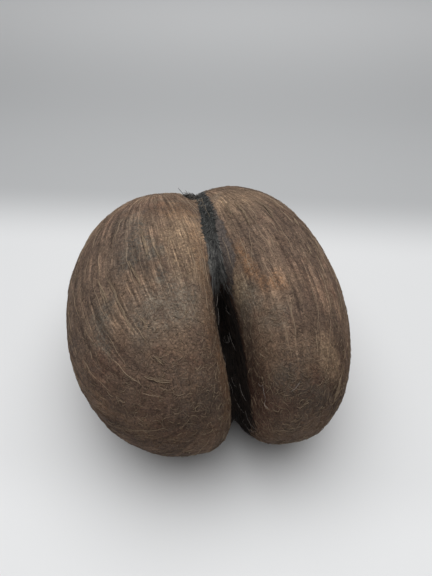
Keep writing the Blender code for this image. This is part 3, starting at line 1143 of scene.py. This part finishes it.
class NUT_OT_band_fibres(bpy.types.Operator):
    """Lays the dark fibres in the cleft"""

    bl_idname = "nut.band_fibres"
    bl_label = "Band Fibres"

    STEPS = 8
    MATTED_FROM = (-0.01, 0.03)
    LENGTH = 0.020
    MATTED_SHORTENING = 0.013
    BASE = 0.0002
    ARCH = 0.0012
    MATTED_LOWERING = 0.0008

    def execute(self, context):
        rng = np.random.default_rng(31)
        surface = Surface()
        points = surface.points
        points = points[(band(points) < 0.75) & (points[:, 2] > 0.02) | (hollow(points) > 0.6)]
        count = settings("fibres").band_count
        roots = points[rng.integers(0, len(points), count)]
        matted = ease(roots[:, 1], *self.MATTED_FROM)
        length = self.LENGTH - self.MATTED_SHORTENING * matted
        stride = length * rng.uniform(0.5, 1.4, count) / self.STEPS
        slant = rng.normal(0.0, 1.0, count) * (0.14 + 0.20 * matted)
        curl = rng.normal(0.0, 1.0, count) * (0.04 + 0.16 * matted)
        path, lifts = surface.walk(roots, down_the_cleft, bent(slant, curl), self.STEPS, stride)
        heights = (self.ARCH - self.MATTED_LOWERING * matted[:, None]) * rng.random((count, 1)) ** 2
        path = arched(path, lifts, self.BASE, heights)
        radii = rng.uniform(0.00014, 0.00030, count)
        tones = rng.uniform(-1.0, 1.0, count)
        for name, mine, colours in (
            ("band_fibres", hollow(roots) < 0.2, BAND_COLOURS),
            ("hollow_fibres", hollow(roots) >= 0.2, HOLLOW_COLOURS),
        ):
            material = dark_fibre_material(name, *colours)
            lay_fibres(name, path[mine], lifts[mine], radii[mine], tones[mine], material)
        return {"FINISHED"}


class NUT_OT_loose_hairs(bpy.types.Operator):
    """Lays the thin pale hairs that stand loose in and beside the cleft"""

    bl_idname = "nut.loose_hairs"
    bl_label = "Loose Hairs"

    STEPS = 16
    PLACED_RADIUS = 0.00010
    BASE = 0.0003

    def execute(self, context):
        rng = np.random.default_rng(41)
        surface = Surface()
        points = surface.points
        left_of = valley_x(points[:, 1]) + 0.006
        near = (hollow(points) > 0.3) & (points[:, 2] > 0.05) & (points[:, 0] < left_of)
        scattered = points[near][rng.integers(0, near.sum(), settings("fibres").hair_count)]
        roots = np.concatenate([[hair.root for hair in HAIRS], scattered])
        placed = len(HAIRS)
        count = len(roots)
        stride = rng.uniform(0.008, 0.026, count) / self.STEPS
        slant = rng.normal(0.0, 0.5, count)
        curl = rng.normal(0.0, 0.05, count)
        stride[:placed] = [hair.length / self.STEPS for hair in HAIRS]
        slant[:placed] = [hair.slant for hair in HAIRS]
        curl[:placed] = [hair.curl for hair in HAIRS]
        path, lifts = surface.walk(roots, down_the_cleft, bent(slant, curl), self.STEPS, stride)
        path = arched(path, lifts, self.BASE, rng.uniform(0.0005, 0.0025, (count, 1)))
        path[..., 1] = np.maximum(path[..., 1], surface.points[:, 1].min())
        radii = rng.uniform(0.00006, 0.00010, count)
        radii[:placed] = self.PLACED_RADIUS
        tones = rng.uniform(0.0, 1.0, count)
        tones[:placed] = 1.0
        material = dark_fibre_material("loose_hair", *HAIR_COLOURS)
        lay_fibres("loose_hairs", path, lifts, radii, tones, material)
        return {"FINISHED"}


class NUT_OT_stalk_tuft(bpy.types.Operator):
    """Stands the tuft of dark fibres where the stalk was"""

    bl_idname = "nut.stalk_tuft"
    bl_label = "Stalk Tuft"

    MIDDLE = (0.0040, 0.092, 0.157)
    SPREAD = (0.0034, 0.002, 0.0012)
    HEIGHT = 0.0030
    STEPS = 12
    STRAY_LIFT = 0.001
    STRAY_REACH = 0.009
    STRAY_CURL = 0.10
    STRAY_RADIUS = 0.00014
    STRAY_AIM = (-0.75, 0.1, 0.65)
    FLAT_WAY = (0.3, 0.9, 0.1)

    def execute(self, context):
        rng = np.random.default_rng(51)
        surface = Surface()
        count = settings("fibres").tuft_count
        spread = rng.normal(0.0, 1.0, (count, 3))
        roots, ups = surface.press(np.array(self.MIDDLE) + spread * np.array(self.SPREAD))
        mound = self.HEIGHT * np.exp(-spread[:, 0] ** 2) * rng.random(count)
        aim = unit(ups * 0.5 + rng.normal(0.0, 0.7, (count, 3)))
        pole = unit(rng.normal(0.0, 1.0, (count, 3)))
        curl = rng.uniform(0.55, 0.90, count)
        reach = rng.uniform(0.006, 0.013, count)
        mound[0], reach[0], curl[0] = self.STRAY_LIFT, self.STRAY_REACH, self.STRAY_CURL
        aim[0] = unit(np.array(self.STRAY_AIM))
        places = [roots + ups * mound[:, None]]
        for _ in range(self.STEPS):
            places.append(places[-1] + aim * (reach / self.STEPS)[:, None])
            aim = unit(aim + np.cross(pole, aim) * curl[:, None])
        path = np.stack(places, axis=1)
        lifts = np.repeat(unit(np.cross(aim, self.FLAT_WAY))[:, None], self.STEPS + 1, axis=1)
        radii = rng.uniform(0.00018, 0.00034, count)
        radii[0] = self.STRAY_RADIUS
        tones = rng.uniform(-1.0, 1.0, count)
        material = dark_fibre_material("tuft_fibre", *TUFT_COLOURS)
        lay_fibres("stalk_tuft", path, lifts, radii, tones, material)
        return {"FINISHED"}


class NUT_OT_stage(bpy.types.Operator):
    """Sets up the floor, the light and the camera"""

    bl_idname = "nut.stage"
    bl_label = "Stage"

    def execute(self, context):
        stage = settings("stage")
        self.add_floor(stage)
        self.add_light(stage)
        self.add_camera(context, stage)
        context.scene.view_settings.view_transform = "Standard"
        return {"FINISHED"}

    def add_floor(self, stage):
        """A wide pale floor, greyer behind, with painted light near the camera and far off, clear from
        below.
        """
        bm = bmesh.new()
        bmesh.ops.create_grid(bm, x_segments=1, y_segments=1, size=stage.floor_width / 2)
        mesh = bpy.data.meshes.new("floor")
        bm.to_mesh(mesh)
        bm.free()
        material, wiring, shader = new_material("pale_floor", roughness=0.6, specular=0.2)
        place = wiring.node("ShaderNodeTexCoord").outputs["Object"]
        turn = stage.camera_turn + FLOOR_TURN
        view = (math.sin(turn), math.cos(turn), 0.0)
        away = wiring.vector("DOT_PRODUCT", place, view, output="Value")
        colour = paint(stage.floor)
        for edge, beyond in (
            (FLOOR_NEAR, stage.floor_near_painted_light),
            (FLOOR_BEHIND, stage.floor_behind),
            (FLOOR_FAR, stage.floor_far_painted_light),
        ):
            colour = wiring.mix(wiring.step(away, *edge), colour, paint(beyond))
        wiring.join(colour, shader, "Base Color")
        back = wiring.node("ShaderNodeNewGeometry").outputs["Backfacing"]
        clear = wiring.node("ShaderNodeBsdfTransparent").outputs[0]
        both = wiring.node("ShaderNodeMixShader", {0: back, 1: shader.outputs[0], 2: clear})
        wiring.join(both.outputs[0], material.node_tree.nodes["Material Output"], "Surface")
        mesh.materials.append(material)
        add_piece("floor", mesh)

    def add_light(self, stage):
        """One wide soft light above and a little behind, and a room light, strongest from above and behind.
        """
        lamp = bpy.data.lights.new("key", "AREA")
        lamp.shape = "DISK"
        lamp.size = stage.key_width
        lamp.energy = stage.key_power
        key = add_piece("key", lamp)
        key.location = KEY_PLACE
        key.rotation_euler = (key.location - Vector(KEY_AIM)).to_track_quat("Z", "Y").to_euler()
        world = bpy.data.worlds.new("room")
        world.use_nodes = True
        wiring = Wiring(world.node_tree)
        way = wiring.node("ShaderNodeTexCoord").outputs["Generated"]
        rise = wiring.vector("DOT_PRODUCT", way, ROOM_BRIGHT_WAY, output="Value")
        dusk = stage.room_light * stage.room_dusk
        strength = wiring.step(rise, *ROOM_DUSK_EDGE, dusk, stage.room_light)
        background = world.node_tree.nodes["Background"]
        background.inputs["Color"].default_value = ROOM_COLOUR
        wiring.join(strength, background, "Strength")
        bpy.context.scene.world = world

    def add_camera(self, context, stage):
        """The camera stands in front of the tips, a little to the left, and looks down."""
        turn, rise = stage.camera_turn, stage.camera_rise
        level = math.cos(rise)
        back = Vector((-math.sin(turn) * level, -math.cos(turn) * level, math.sin(rise)))
        lens = bpy.data.cameras.new("camera")
        lens.sensor_width = SENSOR_WIDTH
        lens.lens = stage.lens
        lens.clip_start = NEAREST_SEEN
        camera = add_piece("camera", lens)
        camera.location = Vector(stage.target) + back * stage.camera_distance
        camera.rotation_euler = (-back).to_track_quat("-Z", "Y").to_euler()
        context.scene.camera = camera


OPERATORS = (
    NUT_OT_husk_skin,
    NUT_OT_ridge_fibres,
    NUT_OT_long_ridges,
    NUT_OT_felt_fibres,
    NUT_OT_pale_curls,
    NUT_OT_band_fibres,
    NUT_OT_loose_hairs,
    NUT_OT_stalk_tuft,
    NUT_OT_stage,
)
GROUPS = {"husk": HuskSettings, "fibres": FibreSettings, "stage": StageSettings}


class NUT_PT_husk(bpy.types.Panel):
    """Lists what dresses the nut, with its settings"""

    bl_label = "Coco de Mer"
    bl_idname = "NUT_PT_husk"
    bl_space_type = "VIEW_3D"
    bl_region_type = "UI"
    bl_category = "Coco de Mer"

    def draw(self, context):
        for operator in OPERATORS:
            self.layout.operator(operator.bl_idname)
        for group, kind in GROUPS.items():
            box = self.layout.box()
            for name in kind.__annotations__:
                box.prop(settings(group), name)


def register():
    """Adds the settings, the operators and the panel."""
    for group, kind in GROUPS.items():
        bpy.utils.register_class(kind)
        setattr(bpy.types.Scene, "coco_" + group, bpy.props.PointerProperty(type=kind))
    for kind in (*OPERATORS, NUT_PT_husk):
        bpy.utils.register_class(kind)


def unregister():
    """Takes away what register added."""
    for kind in (NUT_PT_husk, *reversed(OPERATORS)):
        bpy.utils.unregister_class(kind)
    for group, kind in GROUPS.items():
        delattr(bpy.types.Scene, "coco_" + group)
        bpy.utils.unregister_class(kind)


def main():
    """Dresses the nut."""
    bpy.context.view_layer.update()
    register()
    for operator in OPERATORS:
        module, name = operator.bl_idname.split(".")
        getattr(getattr(bpy.ops, module), name)()


if __name__ == "__main__":
    main()
